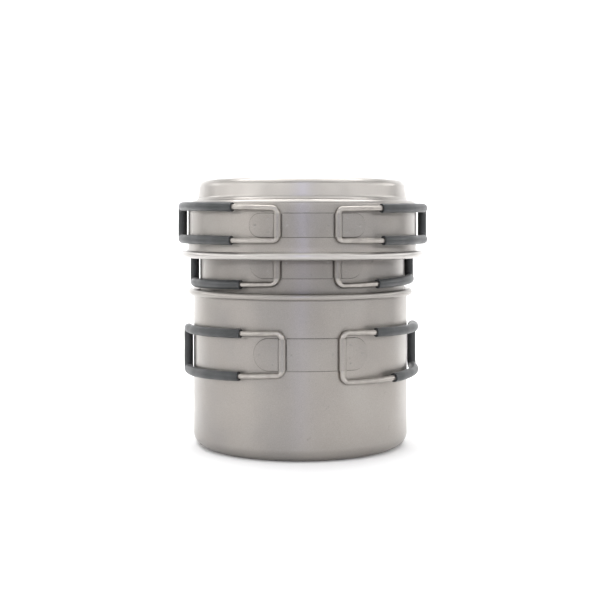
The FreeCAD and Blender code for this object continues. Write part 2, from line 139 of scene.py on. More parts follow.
# the ring of lamps round the room: a direction's height, 0 level and 1 overhead, and its radiance
LAMP_RING = [(0.16, 0.0), (0.22, 6.3), (0.30, 1.7), (0.40, 1.8), (0.55, 0.6), (1.0, 0.0)]
PLAIN_BACKGROUND = 0.95  # what is seen past the paper's edge
TENT_RADIUS = 0.85
TENT_HEIGHT = 1.1
TENT_PANEL_WIDTH = 0.36
# angle from the camera, watts on the left, watts on the right
TENT_PANELS = [
    (35, 0.08, 0.02), (60, 0.60, 0.30), (85, 0.30, 0.10), (110, 0.20, 0.10), (135, 0.30, 0.36),
]
SOFTBOX_SIZE, SOFTBOX_WATTS = 1.5, 14.5
WINDOW_DISTANCE, WINDOW_LEVEL = 1.2, 0.50
WINDOW_WIDTH, WINDOW_HEIGHT, WINDOW_WATTS = 0.10, 0.8, 0.6
WINDOW_BLUE = (0.4, 0.45, 1.0)
BACKDROP_WIDTH, BACKDROP_DEPTH, BACKDROP_WATTS = 2.0, 0.5, 20


# ---- materials ---------------------------------------------------------------------------------


class Shader:
    """One material's node tree, with short ways to add to it."""

    def __init__(self, name, **surface):
        self.material = bpy.data.materials.new(name)
        self.material.use_nodes = True
        self.tree = self.material.node_tree
        self.bsdf = self.tree.nodes["Principled BSDF"]
        self.place = self.add("TexCoord").outputs["Object"]
        for socket, value in surface.items():
            self.feed(self.bsdf.inputs[socket.replace("_", " ")], value)

    def add(self, kind, inputs=None, **settings):
        node = self.tree.nodes.new("ShaderNode" + kind)
        for key, value in settings.items():
            setattr(node, key, value)
        for key, value in (inputs or {}).items():
            self.feed(node.inputs[key], value)
        return node

    def feed(self, socket, value):
        if isinstance(value, bpy.types.NodeSocket):
            self.tree.links.new(value, socket)
        else:
            socket.default_value = value

    def stretched(self, x, y, z):
        """The place on the object with its axes scaled, which makes a noise run in lines."""
        return self.add("Mapping", {"Vector": self.place, "Scale": (x, y, z)}).outputs["Vector"]

    def noise(self, scale, detail=2.0, vector=None, rough=0.5):
        place = vector or self.place
        inputs = {"Vector": place, "Scale": scale, "Detail": detail, "Roughness": rough}
        return self.add("TexNoise", inputs).outputs["Fac"]

    def remap(self, value, low, high, to_low=0.0, to_high=1.0):
        """A value taken smoothly from one range to another."""
        inputs = {
            "Value": value,
            "From Min": low,
            "From Max": high,
            "To Min": to_low,
            "To Max": to_high,
        }
        node = self.add("MapRange", inputs, interpolation_type="SMOOTHSTEP")
        return node.outputs["Result"]

    def maths(self, operation, a, b):
        return self.add("Math", {0: a, 1: b}, operation=operation).outputs[0]

    def mix(self, factor, a, b):
        node = self.add("Mix", data_type="RGBA")
        self.feed(node.inputs[0], factor)
        self.feed(node.inputs[6], a)
        self.feed(node.inputs[7], b)
        return node.outputs[2]

    def bump(self, height, depth, strength=1.0, normal=None):
        inputs = {"Height": height, "Distance": depth, "Strength": strength}
        if normal:
            inputs["Normal"] = normal
        return self.add("Bump", inputs).outputs["Normal"]

    def attribute(self, name):
        return self.add("Attribute", attribute_name=name).outputs["Fac"]


def grey(value, warmth=0.0, alpha=1.0):
    """A grey that leans to red and away from blue by warmth."""
    return (value * (1 + warmth), value, value * (1 - warmth), alpha)


def titanium(name, base, roughness, spun=1.0):
    """Bead-blasted titanium sheet: fine grain, faint spinning lines, oxide patches and smudges.

    The base is its red, green and blue. The "rim" attribute paints it lighter: wear and painted
    highlight."""
    shader = Shader(name, Metallic=1.0)
    base = (*base, 1.0)
    clouds = shader.remap(shader.noise(14.0, 4.0), 0.36, 0.6)
    blued = (base[0] * 0.83, base[1] * 0.835, base[2] * 0.855, 1.0)
    colour = shader.mix(clouds, blued, base)
    patches = shader.remap(shader.noise(38.0, 4.0), 0.3, 0.7, 0.0, 0.6)
    oxide = (base[0] * 0.93, base[1] * 0.91, base[2] * 0.90, 1.0)
    colour = shader.mix(patches, colour, oxide)
    smudge = shader.remap(shader.noise(105.0, 3.0, rough=0.65), 0.67, 0.76)
    colour = shader.mix(shader.maths("MULTIPLY", smudge, 0.45), colour, grey(base[0] * 0.45, 0.05))
    grain = shader.noise(2600.0, 3.0)
    speckle = shader.remap(grain, 0.25, 0.75, 0.90, 1.06)
    tinted = shader.add("HueSaturation", {"Color": colour, "Value": speckle}).outputs["Color"]
    wear_and_sheen_mask = shader.attribute("rim")
    # painted highlight, with wear on the rims: lighter metal where the rim attribute is set
    colour = shader.mix(wear_and_sheen_mask, tinted, grey(base[1] * RIM_SHEEN, 0.045))
    shader.feed(shader.bsdf.inputs["Base Color"], colour)
    lines = shader.noise(1.0, 2.0, vector=shader.stretched(14.0, 14.0, 1500.0))
    wear = shader.remap(shader.noise(60.0, 4.0), 0.2, 0.8, -0.05, 0.06)
    rough = shader.maths("ADD", wear, roughness)
    rim_rough = shader.maths("MULTIPLY", wear_and_sheen_mask, RIM_POLISH)
    shader.feed(shader.bsdf.inputs["Roughness"], shader.maths("ADD", rough, rim_rough))
    normal = shader.bump(lines, 0.012 * MM, 0.35 * spun)
    normal = shader.bump(grain, 0.03 * MM, 0.5, normal)
    shader.feed(shader.bsdf.inputs["Normal"], normal)
    # the spinning lines run round the vessel and spread a highlight up and down it
    shader.feed(shader.bsdf.inputs["Anisotropic"], 0.7 * spun)
    shader.feed(shader.bsdf.inputs["Anisotropic Rotation"], 0.25)
    tangent = shader.add("Tangent", direction_type="RADIAL", axis="Z").outputs["Tangent"]
    shader.feed(shader.bsdf.inputs["Tangent"], tangent)
    return shader.material


def drawn_wire(name):
    """Tumbled titanium wire: satin, with dull patches."""
    shader = Shader(name, Metallic=1.0)
    dull = shader.remap(shader.noise(220.0, 2.0), 0.35, 0.7)
    colour = shader.mix(dull, grey(0.37, 0.07), grey(0.315, 0.07))
    shader.feed(shader.bsdf.inputs["Base Color"], colour)
    shader.feed(shader.bsdf.inputs["Roughness"], shader.remap(dull, 0.0, 1.0, 0.38, 0.44))
    return shader.material


def painted_seam_shade(name):
    """A dark line of painted shade for the seam between the strap and the wall."""
    shader = Shader(name, Metallic=0.6, Roughness=0.6)
    # the painted shade line's tone varies a little along it
    shade_tone = shader.remap(shader.noise(400.0, 3.0), 0.3, 0.7)
    colour = shader.mix(shade_tone, grey(0.09, 0.08), grey(0.15, 0.08))
    shader.feed(shader.bsdf.inputs["Base Color"], colour)
    return shader.material


def weld_metal(name):
    """The face of a spot weld, darkened by heat and pitted."""
    shader = Shader(name, Metallic=1.0, Roughness=0.45)
    burn = shader.remap(shader.noise(700.0, 3.0), 0.35, 0.65)
    colour = shader.mix(burn, grey(0.21, 0.05), grey(0.31, 0.03))
    shader.feed(shader.bsdf.inputs["Base Color"], colour)
    pits = shader.bump(shader.noise(2600.0, 3.0), 0.05 * MM, 0.7)
    shader.feed(shader.bsdf.inputs["Normal"], pits)
    return shader.material


def silicone(name):
    """Matt grey silicone tubing: a soft sheen, a fine skin, dust and lighter rubbed patches."""
    shader = Shader(name, Specular_IOR_Level=0.42)
    rubbed = shader.remap(shader.noise(90.0, 4.0), 0.35, 0.75)
    colour = shader.mix(rubbed, (0.025, 0.027, 0.028, 1.0), (0.037, 0.039, 0.041, 1.0))
    dust = shader.remap(shader.noise(2400.0, 2.0), 0.70, 0.78)
    colour = shader.mix(shader.maths("MULTIPLY", dust, 0.35), colour, (0.30, 0.30, 0.29, 1.0))
    shader.feed(shader.bsdf.inputs["Base Color"], colour)
    shader.feed(shader.bsdf.inputs["Roughness"], shader.remap(rubbed, 0.0, 1.0, 0.46, 0.34))
    shader.feed(shader.bsdf.inputs["Sheen Weight"], 0.12)
    shader.feed(shader.bsdf.inputs["Sheen Roughness"], 0.4)
    skin = shader.bump(shader.noise(1500.0, 4.0), 0.03 * MM, 0.45)
    shader.feed(shader.bsdf.inputs["Normal"], skin)
    return shader.material


def paper(name):
    """The seamless pale sweep that the set stands on."""
    shader = Shader(name, Roughness=0.9, Specular_IOR_Level=0.1)
    tone = shader.remap(shader.noise(3.0, 2.0), 0.3, 0.7)
    shader.feed(shader.bsdf.inputs["Base Color"], shader.mix(tone, grey(0.90), grey(0.93)))
    shader.feed(shader.bsdf.inputs["Emission Color"], grey(1.0))
    shader.feed(shader.bsdf.inputs["Emission Strength"], PAPER_GLOW)
    return shader.material


TITANIUM = titanium("titanium_sheet", (0.350, 0.329, 0.307), 0.34)
STRAP_METAL = titanium("titanium_strap", (0.337, 0.317, 0.296), 0.34, spun=0.8)
# painted shade: darker copies of the sheet and strap metal for the middle pot, under the pan's rim
SHADED_TITANIUM = titanium("titanium_sheet_painted_shade", (0.296, 0.278, 0.260), 0.34)
SHADED_STRAP_METAL = titanium("titanium_strap_painted_shade", (0.282, 0.265, 0.248), 0.34, spun=0.8)
# painted shade: the dark line that stands in the seams round each strap
PAINTED_SEAM_SHADE = painted_seam_shade("painted_seam_shade")
WIRE_METAL = drawn_wire("titanium_wire")
WELD_METAL = weld_metal("spot_weld_face")
SILICONE = silicone("grey_silicone")


# ---- meshes ------------------------------------------------------------------------------------


def new_piece(name, vertices, faces, material, body, slot, replaced):
    """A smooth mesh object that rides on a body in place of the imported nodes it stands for."""
    mesh = bpy.data.meshes.new(name)
    mesh.from_pydata([tuple(v) for v in vertices], [], faces)
    mesh.polygons.foreach_set("use_smooth", [True] * len(mesh.polygons))
    mesh.materials.append(material)
    piece = bpy.data.objects.new(name, mesh)
    bpy.context.scene.collection.objects.link(piece)
    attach(piece, body)
    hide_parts(*replaced)
    return piece


class Outline:
    """A line in the half plane of radius and height, from the axis out to the rolled rim's lip.

    Its first points are painted a little lighter as a highlight; those from rim_start on are the
    rim's."""

    def __init__(self, radius, height):
        self.points = [Vector((radius, height))]
        self.rim_start = self.sheen_end = 0
        self.rim_wear_and_sheen = 1.0

    def line(self, radius, height, steps=1):
        start = self.points[-1]
        end = Vector((radius, height))
        self.points += [start.lerp(end, k / steps) for k in range(1, steps + 1)]

    def arc(self, radius, height, size, start, end):
        """An arc about (radius, height) between two angles in degrees, up to its end point."""
        steps = max(4, round(abs(end - start) / ARC_DEGREES))
        for k in range(steps + 1):
            angle = math.radians(start + (end - start) * k / steps)
            point = Vector((radius + size * math.cos(angle), height + size * math.sin(angle)))
            if (point - self.points[-1]).length > 1e-7:
                self.points.append(point)

    def sheet(self):
        """Both faces of the sheet about this line, with its lip: points and how much lighter each is
        painted.
        """
        count = len(self.points)
        sides = []
        for k, point in enumerate(self.points):
            ahead = self.points[min(k + 1, count - 1)] - self.points[max(k - 1, 0)]
            normal = Vector((ahead.y, -ahead.x)).normalized() * (SHEET / 2)
            if point.x == 0:
                normal = Vector((0, math.copysign(SHEET / 2, normal.y)))
            sides.append((point + normal, point - normal))
        outer = [side[0] for side in sides]
        inner = [side[1] for side in sides]
        lip = self.points[-1] + (self.points[-1] - self.points[-2]).normalized() * (SHEET / 2)
        # painted lighter: a highlight on the pan's drum and shoulder, wear and a highlight on the
        # rims
        wear = [DRUM_SHEEN if k < self.sheen_end else 0.0 for k in range(self.rim_start)]
        wear += [self.rim_wear_and_sheen] * (count - self.rim_start)
        return outer + [lip] + inner[::-1], wear + [self.rim_wear_and_sheen] + wear[::-1]


def lathe(name, vessel, outline, **riding):
    """Turns a sheet outline about the vessel's axis, with the slight waves of a thin spun wall."""
    section, rim = outline.sheet()
    vertices, faces, marks, rings = [], [], [], []
    for point, mark in zip(section, rim):
        if point.x < 1e-9:
            rings.append([len(vertices)] * RING_STEPS)
            vertices.append(vessel.place(0, 0, point.y))
            marks.append(mark)
            continue
        rings.append(list(range(len(vertices), len(vertices) + RING_STEPS)))
        for step in range(RING_STEPS):
            angle = 2 * math.pi * step / RING_STEPS
            around = Vector((math.cos(angle), math.sin(angle), point.y * 14))
            wave = noise.noise(around * 1.6) * WALL_WAVE * MM * min(1, point.x / (50 * MM))
            vertices.append(vessel.place(angle, point.x + wave, point.y))
            marks.append(mark)
    for low, high in zip(rings[:-1], rings[1:]):
        for step in range(RING_STEPS):
            after = (step + 1) % RING_STEPS
            corners = [low[step], low[after], high[after], high[step]]
            faces.append(list(dict.fromkeys(corners)))
    piece = new_piece(name, vertices, faces, vessel.metal, **riding)
    # how much lighter each point is painted, read by the metal's rim attribute
    layer = piece.data.attributes.new("rim", "FLOAT", "POINT")
    layer.data.foreach_set("value", marks)
    return piece


class Vessel:
    """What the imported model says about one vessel: its axis, wall and strap, and its turn."""

    def __init__(self, key, shell, strap, metal=TITANIUM, strap_metal=STRAP_METAL):
        self.key, self.shell, self.strap, self.body = key, shell, strap, shell
        self.metal, self.strap_metal = metal, strap_metal
        low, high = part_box(shell)
        self.bottom, self.top, self.rim_radius = low.z, high.z, (high.x - low.x) / 2
        self.axis = ((low + high) / 2).xy
        places = [joints[f"{key}_{hand}_handle_swing"]["pos_m"] for hand in ("left", "right")]
        pins = [Vector(place).xy - self.axis for place in places]
        self.pin_radius = pins[0].length
        self.wall = self.pin_radius - WIRE_RADIUS - WIRE_PLAY
        middle = (pins[0] + pins[1]) / 2
        self.turn = math.atan2(middle.x, -middle.y)
        self.pin_angle = math.asin((pins[1] - pins[0]).length / 2 / self.pin_radius)
        low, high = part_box(strap)
        self.strap_level, self.strap_half = (low.z + high.z) / 2, (high.z - low.z) / 2

    def place(self, angle, radius, height):
        """A point at an angle about the axis from the strap's middle, positive to the right."""
        turned = self.turn + angle
        return Vector((
            self.axis.x + radius * math.sin(turned),
            self.axis.y - radius * math.cos(turned),
            height,
        ))

    def on_wall(self, across, above, up):
        """A point so far along the wall from the strap's middle, out from the wall and up."""
        return self.place(across / self.wall, self.wall + above, self.strap_level + up)


def pot_outline(vessel):
    """A pot: flat base, rounded corner, straight wall and a rim rolled outwards."""
    half = SHEET / 2
    curl = (vessel.rim_radius - vessel.wall + SHEET) / 2
    rim_level = vessel.top - curl
    outline = Outline(0, vessel.bottom + half)
    outline.line(vessel.wall - POT_CORNER, vessel.bottom + half, steps=12)
    centre = (vessel.wall - POT_CORNER, vessel.bottom + POT_CORNER)
    outline.arc(*centre, POT_CORNER - half, -90, 0)
    outline.line(vessel.wall - half, rim_level, steps=30)
    outline.rim_start = len(outline.points)
    outline.rim_wear_and_sheen = POT_RIM_WEAR_AND_SHEEN
    outline.arc(vessel.wall + curl - SHEET, rim_level, curl - half, 180, CURL_OPENING - 180)
    return outline


def pan_outline(vessel):
    """The pan, mouth down: base, narrow drum, shoulder, skirt and rolled rim."""
    half = SHEET / 2
    curl = (vessel.rim_radius - vessel.wall - PAN_FLARE + SHEET) / 2
    rim_level = vessel.bottom + curl
    shoulder = vessel.top - PAN_SHOULDER_DROP
    drum, corner = PAN_STEP_RADIUS, PAN_STEP_CORNER
    corner_centre = drum - PAN_DRAFT - corner
    outline = Outline(0, vessel.top - half)
    outline.line(corner_centre, vessel.top - half, steps=12)
    outline.arc(corner_centre, vessel.top - corner, corner - half, 90, 0)
    fillet = PAN_STEP_FILLET
    outline.arc(drum + fillet, shoulder + fillet, fillet + half, 180, 270)
    corner = PAN_SHOULDER_CORNER
    outline.arc(vessel.wall - corner, shoulder - corner, corner - half, 90, 0)
    outline.sheen_end = len(outline.points) - 4  # the shoulder's last few points are the skirt's
    outline.line(vessel.wall - half, rim_level + PAN_FLARE_HEIGHT, steps=12)
    outline.line(vessel.wall + PAN_FLARE - half, rim_level)
    outline.rim_start = len(outline.points)
    rim_centre = vessel.wall + PAN_FLARE + curl - SHEET
    outline.arc(rim_centre, rim_level, curl - half, 180, 540 - CURL_OPENING)
    return outline


# ---- hinge straps and their welds --------------------------------------------------------------


def channel_line(pin_across):
    """The sheet's middle line over one channel: (distance along the wall, height above it)."""
    plate, nose = STRAP_SHEET / 2, WIRE_RADIUS + WIRE_PLAY + STRAP_SHEET / 2
    fillet, centre = CHANNEL_FILLET, WIRE_RADIUS + WIRE_PLAY
    half = []
    for k in range(FILLET_STEPS + 1):
        angle = math.radians(90 * k / FILLET_STEPS)
        foot = nose + fillet - fillet * math.sin(angle)
        half.append((foot, plate + fillet - fillet * math.cos(angle)))
    for k in range(NOSE_STEPS + 1):
        angle = math.radians(90 * k / NOSE_STEPS)
        half.append((nose * math.cos(angle), centre + nose * math.sin(angle)))
    left = [(pin_across - u, v) for u, v in half]
    right = [(pin_across + u, v) for u, v in reversed(half[:-1])]
    return left + right


def spread(start, end, spacing):
    """Distances from start towards end, both left out."""
    steps = max(2, round((end - start) / spacing))
    return [start + (end - start) * k / steps for k in range(1, steps)]


def strap_columns(vessel):
    """The strap's middle line from end to end, each point with half of the strap's height there."""
    half_height = vessel.strap_half
    pin = vessel.wall * vessel.pin_angle
    foot = WIRE_RADIUS + WIRE_PLAY + STRAP_SHEET / 2 + CHANNEL_FILLET
    pin_chord = vessel.pin_radius * math.sin(vessel.pin_angle)
    straight = vessel.wall * math.asin((pin_chord + STRAP_REACH - half_height) / vessel.wall)
    flat = STRAP_SHEET / 2
    columns = []
    for k in range(STRAP_END_STEPS + 1):
        angle = math.radians(STRAP_END_DEGREES * (1 - k / STRAP_END_STEPS))
        across = -straight - half_height * math.sin(angle)
        columns.append((across, flat, half_height * math.cos(angle)))
    columns += [(u, flat, half_height) for u in spread(-straight, -pin - foot, STRAP_SPACING)]
    columns += [(u, v, half_height) for u, v in channel_line(-pin)]
    columns += [(u, flat, half_height) for u in spread(-pin + foot, 0, MIDDLE_SPACING)]
    mirrored = [(-u, v, tall) for u, v, tall in reversed(columns)]
    return columns + [(0, flat, half_height)] + mirrored


def weld_places(vessel):
    """Each weld's place on the wall, along it and up from the strap's middle."""
    outer = vessel.wall + STRAP_SHEET
    for across, share in WELDS:
        for side in (-1, 1):
            yield side * vessel.wall * math.asin(across / outer), share * vessel.strap_half


def dish(distance, depth, radius):
    """The depth of a soft round dent at a distance from its middle."""
    share = min(distance / radius, 1)
    return depth * (1 - share * share * (3 - 2 * share))


def strap_piece(vessel):
    """The stamped strap as a fine grid of sheet, dented where the electrode pressed it."""
    welds = list(weld_places(vessel))
    columns = strap_columns(vessel)
    rows = STRAP_ROWS
    vertices, faces = [], []
    for across, above, tall in columns:
        for row in range(rows + 1):
            up = tall * (2 * row / rows - 1)
            nearest = min(math.hypot(across - u, up - z) for u, z in welds)
            dent = dish(nearest, WELD_DENT, WELD_RADIUS * WELD_DENT_REACH)
            vertices.append(vessel.on_wall(across, above - dent, up))
    for column in range(len(columns) - 1):
        for row in range(rows):
            first = column * (rows + 1) + row
            faces.append((first, first + rows + 1, first + rows + 2, first + 1))
    piece = new_piece(
        vessel.key + "_stamped_strap",
        vertices,
        faces,
        vessel.strap_metal,
        body=vessel.body,
        slot="titanium_strap",
        replaced=[vessel.strap],
    )
    thick = piece.modifiers.new("thickness", "SOLIDIFY")
    thick.thickness = STRAP_SHEET
    thick.offset = 0
    edge = piece.modifiers.new("edge", "BEVEL")
    edge.width = STRAP_EDGE
    edge.segments = 4
    edge.limit_method = "ANGLE"
    edge.angle_limit = math.radians(55)


def strip(vessel, route, section, closed):
    """Vertices and faces of a section, (offset to the side, height), swept along the wall."""
    vertices, faces = [], []
    count, rows = len(route), len(section)
    for k, (u, up) in enumerate(route):
        after = route[(k + 1) % count if closed else min(k + 1, count - 1)]
        before = route[k - 1 if closed else max(k - 1, 0)]
        along = (Vector(after) - Vector(before)).normalized()
        for offset, above in section:
            vertices.append(vessel.on_wall(u - along.y * offset, above, up + along.x * offset))
    for k in range(count if closed else count - 1):
        after = (k + 1) % count
        if (Vector(route[after]) - Vector(route[k])).length > 2 * WIRE_RADIUS:
            continue
        for row in range(rows - 1):
            a, b = k * rows + row, after * rows + row
            faces.append((a, a + 1, b + 1, b))
    return vertices, faces


def seam_shade_piece(vessel):
    """Thin beads of painted shade along the strap's outline, but for its channels, and at their feet.
    """
    flat = [(u, tall) for u, above, tall in strap_columns(vessel) if above == STRAP_SHEET / 2]
    outline = flat + [(u, -tall) for u, tall in reversed(flat)]
    shade_bead = [(offset * MM, above * MM) for offset, above in OUTLINE_SHADE_BEAD]
    vertices, faces = strip(vessel, outline, shade_bead, closed=True)
    pin = vessel.wall * vessel.pin_angle
    foot = WIRE_RADIUS + WIRE_PLAY + STRAP_SHEET + CHANNEL_FILLET / 2
    heights = [vessel.strap_half * 0.97 * (k / 8 - 1) for k in range(17)]
    shade_bead = [(offset * MM, STRAP_SHEET + above * MM) for offset, above in FOOT_SHADE_BEAD]
    for place in (-pin - foot, -pin + foot, pin - foot, pin + foot):
        more, sides = strip(vessel, [(place, up) for up in heights], shade_bead, closed=False)
        faces += [tuple(len(vertices) + corner for corner in face) for face in sides]
        vertices += more
    new_piece(
        vessel.key + "_strap_seam_shade",
        vertices,
        faces,
        PAINTED_SEAM_SHADE,
        body=vessel.body,
        slot="titanium_strap",
        replaced=[vessel.strap],
    )


def weld_piece(vessel):
    """The welds' dished faces, each with a slightly raised ring of squeezed-out metal."""
    sides = WELD_SIDES
    vertices, faces = [], []
    for across, up in weld_places(vessel):
        first = len(vertices)
        for share, height in WELD_FACE:
            for side in range(sides):
                angle = 2 * math.pi * side / sides
                u = across + WELD_RADIUS * share * math.cos(angle)
                z = up + WELD_RADIUS * share * math.sin(angle)
                vertices.append(vessel.on_wall(u, STRAP_SHEET + height * MM, z))
        for ring in range(len(WELD_FACE) - 1):
            for side in range(sides):
                a, b = first + ring * sides + side, first + ring * sides + (side + 1) % sides
                faces.append((a, a + sides, b + sides, b))
        faces.append(tuple(range(first, first + sides)))
    new_piece(
        vessel.key + "_weld_faces",
        vertices,
        faces,
        WELD_METAL,
        body=vessel.body,
        slot="spot_weld",
        replaced=[vessel.strap.replace("hinge_strap", "spot_welds")],
    )


# ---- handle loops ------------------------------------------------------------------------------


def corner_arc(corner, before, after, reach):
    """Points of the arc that rounds a corner between two directions, from that far before it."""
    turn = before.angle(after)
    radius = reach / math.tan(turn / 2)
    start = corner - before * reach
    inwards = (after - before * before.dot(after)).normalized()
    angles = [turn * k / BEND_STEPS for k in range(BEND_STEPS + 1)]
    return [
        start + inwards * (radius * (1 - math.cos(t))) + before * (radius * math.sin(t))
        for t in angles
    ]


class Arm:
    """One arm of a loop, in one plane: straight away from its pin and then round the wall."""

    def __init__(self, loop, level, rise):
        self.vessel, self.side, self.run, self.level = loop.vessel, loop.side, loop.run, level
        self.slope = math.asin(rise / self.run)
        self.sign = math.copysign(1, level)
        self.reach = min(HINGE_BEND, abs(level) - self.vessel.strap_half + HINGE_BEND_ENTRY)
        self.pin = self.vessel.pin_radius
        self.lead = math.sqrt((self.run - self.pin) * (self.run + self.pin - 2 * BLEND_BEND))
        self.run_turn = math.atan2(self.lead, self.pin - BLEND_BEND)
        self.end_turn = loop.end - math.atan(END_BEND / self.run)

    def point(self, out, along):
        """A point of the arm's plane: distance from the axis towards the pin, and along the arm."""
        angle = math.atan2(along * math.cos(self.slope), out)
        radius = math.hypot(along * math.cos(self.slope), out)
        height = self.vessel.strap_level + self.level + along * math.sin(self.slope)
        return self.vessel.place(self.side * (self.vessel.pin_angle + angle), radius, height)

    def round_point(self, turn):
        return self.point(self.run * math.cos(turn), self.run * math.sin(turn))

    def points(self):
        """From the middle of the strap's channel to the end of the run."""
        corner = self.point(self.pin, 0)
        away = (self.point(self.pin, self.lead) - corner).normalized()
        foot = corner - Vector((0, 0, self.level - self.sign * WIRE_END_GAP / 2))
        route = [foot] + corner_arc(corner, Vector((0, 0, self.sign)), away, self.reach)
        for k in range(BLEND_STEPS + 1):
            angle = self.run_turn * k / BLEND_STEPS
            out, along = math.cos(angle) - 1, math.sin(angle)
            route.append(self.point(self.pin + BLEND_BEND * out, self.lead + BLEND_BEND * along))
        self.before_run = route_lengths(route)[-1]
        for k in range(1, RUN_STEPS + 1):
            turn = self.run_turn + (self.end_turn - self.run_turn) * k / RUN_STEPS
            route.append(self.round_point(turn))
        return route

    def length_at(self, turn):
        """How far along the arm its run has come round to an angle from the pin."""
        return self.before_run + self.run * (turn - self.run_turn)

    def end_corner(self):
        last, before = self.round_point(self.end_turn), self.round_point(self.end_turn - 0.001)
        direction = (last - before).normalized()
        return last + direction * END_BEND, direction


class Loop:
    """The middle line of a handle's wire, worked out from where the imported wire's vertices lie."""

    def __init__(self, vessel, hand):
        self.vessel, self.side = vessel, -1 if hand == "left" else 1
        angle, radius, height = self.spread_out(f"{vessel.key}_{hand}_handle_wire")
        self.end = angle.max() - WIRE_RADIUS / radius.max()
        on_run = (angle > RUN_FROM) & (angle < self.end - RUN_SHORT)
        self.run = (radius[on_run].min() + radius[on_run].max()) / 2
        self.arms = []
        for above in (True, False):
            own = on_run & ((height > 0) == above)
            rise, level = np.polyfit(np.sin(angle[own]), height[own], 1)
            self.arms.append(Arm(self, level, rise))
        upper, lower = self.arms
        top, bottom = upper.points(), lower.points()
        (high, outwards), (low, back) = upper.end_corner(), lower.end_corner()
        down = (low - high).normalized()
        end = corner_arc(high, outwards, down, END_BEND)
        end += corner_arc(low, back, -down, END_BEND)[::-1]
        self.route = top + end + bottom[::-1]
        self.length = route_lengths(self.route)[-1]

    def spread_out(self, node):
        """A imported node's vertices: angles on from the pin, distances from the axis, heights."""
        points = np.array([vertex.co for vertex in frame["nodes"][node].data.vertices])
        x, y = points[:, 0] - self.vessel.axis.x, points[:, 1] - self.vessel.axis.y
        angle = self.side * (np.arctan2(x, -y) - self.vessel.turn) - self.vessel.pin_angle
        return angle, np.hypot(x, y), points[:, 2] - self.vessel.strap_level


def route_lengths(route):
    """How far along a route each of its points is."""
    return np.concatenate([[0], np.cumsum([(b - a).length for a, b in zip(route[:-1], route[1:])])])


def sweep(route, rings, sides, swell):
    """Vertices and faces of a tube: rings of (place along the route, radius), a bit swollen."""
    lengths, coordinates = route_lengths(route), np.array(route)

    def at(place):
        return Vector([np.interp(place, lengths, coordinates[:, k]) for k in range(3)])

    vertices, faces = [], []
    before, across = None, (route[1] - route[0]).orthogonal().normalized()
    for place, radius in rings:
        centre = at(place)
        along = (at(place + SWEEP_STEP) - at(place - SWEEP_STEP)).normalized()
        if before:
            across = before.rotation_difference(along) @ across
        before = along
        across = (across - along * across.dot(along)).normalized()
        other = along.cross(across)
        for side in range(sides):
            angle = 2 * math.pi * side / sides
            out = across * math.cos(angle) + other * math.sin(angle)
            vertices.append(centre + out * (radius + swell(centre + out * radius)))
    for ring in range(len(rings) - 1):
        for side in range(sides):
            a, b = ring * sides + side, ring * sides + (side + 1) % sides
            faces.append((a, b, b + sides, a + sides))
    return vertices, faces


def wire_piece(vessel, hand, loop):
    """The bent wire, from one cut end in its channel round to the other."""
    cut = [(place * MM, WIRE_RADIUS * share) for place, share in CUT_END]
    inset = cut[-1][0]
    middle_places = spread(inset, loop.length - inset, WIRE_SPACING)
    rings = cut + [(place, WIRE_RADIUS) for place in middle_places]
    rings += [(loop.length - place, radius) for place, radius in reversed(cut)]
    vertices, faces = sweep(loop.route, rings, WIRE_SIDES, lambda place: 0)
    faces.append(tuple(range(WIRE_SIDES))[::-1])
    faces.append(tuple(range(len(vertices) - WIRE_SIDES, len(vertices))))
    new_piece(
        f"{vessel.key}_{hand}_bent_wire",
        vertices,
        faces,
        WIRE_METAL,
        body=f"{vessel.key}_{hand}_handle",
        slot="wire",
        replaced=[f"{vessel.key}_{hand}_handle_wire"],
    )


def grip_rings(start, end, size):
    """(place along the loop, radius) from deep in one mouth over the sleeve into the other."""
    near = [(place * MM, radius * MM) for place, radius in GRIP_MOUTH]
    near += [(place * MM, size - below * MM) for place, below in GRIP_EDGE]
    inset = 0.4 * MM
    sleeve = [(place, size) for place in spread(start + inset, end - inset, GRIP_SPACING)]
    first = [(start + place, radius) for place, radius in near]
    last = [(end - place, radius) for place, radius in reversed(near)]
    return first + sleeve + last


def grip_piece(vessel, hand, loop):
    """A silicone sleeve: its cut ends gape a little round the wire, and its skin isn't even."""
    node = f"{vessel.key}_{hand}_grip"
    angle, radius, height = loop.spread_out(node)
    arms = angle < loop.end - SLEEVE_SHORT
    size = (radius[arms].max() - radius[arms].min()) / 2
    upper, lower = loop.arms
    start = upper.length_at(angle[height > 0].min())
    end = loop.length - lower.length_at(angle[height < 0].min())
    rings = grip_rings(start, end, size)

    def uneven(place):
        return noise.noise(place * 160) * GRIP_WAVE * MM

    vertices, faces = sweep(loop.route, rings, GRIP_SIDES, uneven)
    new_piece(
        f"{vessel.key}_{hand}_silicone_sleeve",
        vertices,
        faces,
        SILICONE,
        body=f"{vessel.key}_{hand}_handle",
        slot="silicone_grip",
        replaced=[node],
    )


# ---- the set -----------------------------------------------------------------------------------


def make_vessel(vessel, outline):
    lathe(
        vessel.key + "_spun_shell",
        vessel,
        outline,
        body=vessel.body,
        slot="titanium_sheet",
        replaced=[vessel.shell],
    )
    strap_piece(vessel)
    # dark beads of painted shade in the strap's seams
    seam_shade_piece(vessel)
    weld_piece(vessel)
    for hand in ("left", "right"):
        loop = Loop(vessel, hand)
        wire_piece(vessel, hand, loop)
        grip_piece(vessel, hand, loop)


big = Vessel("big", "big_pot", "big_pot_hinge_strap")
# the middle pot is painted darker for the shade under the pan's rim
middle = Vessel(
    "middle", "middle_pot", "middle_pot_hinge_strap", SHADED_TITANIUM, SHADED_STRAP_METAL
)
pan = Vessel("pan", "pan", "pan_hinge_strap")
make_vessel(big, pot_outline(big))
make_vessel(middle, pot_outline(middle))
make_vessel(pan, pan_outline(pan))


# ---- studio ------------------------------------------------------------------------------------

